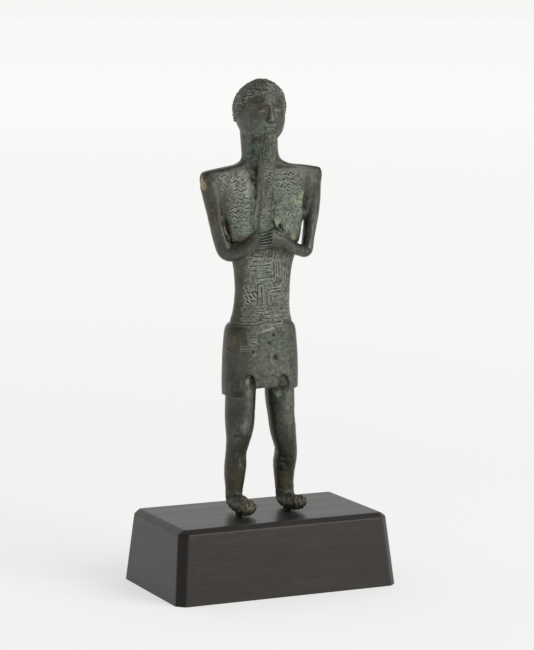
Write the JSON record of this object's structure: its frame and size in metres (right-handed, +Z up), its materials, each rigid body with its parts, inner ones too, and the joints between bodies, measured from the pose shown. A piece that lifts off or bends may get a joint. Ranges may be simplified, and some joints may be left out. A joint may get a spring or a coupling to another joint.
{
  "type": "standing male figurine",
  "caption": "Cast bronze figurine of a standing bearded man in a short kilt, hands clasped at the end of a long bar-shaped beard, on a low black wooden block.",
  "frame": {"origin": "middle of the base's underside", "axes": "+Z up, the figure faces -Y, +X to its left hand"},
  "size_m": [0.1028, 0.0636, 0.2175],
  "materials": {
    "bronze": "dark brown bronze with a grey-green patina",
    "black_wood": "black-stained, semi-gloss"
  },
  "bodies": {
    "root": {"figurine": "bronze", "base": "black_wood"}
  },
  "joints": []
}
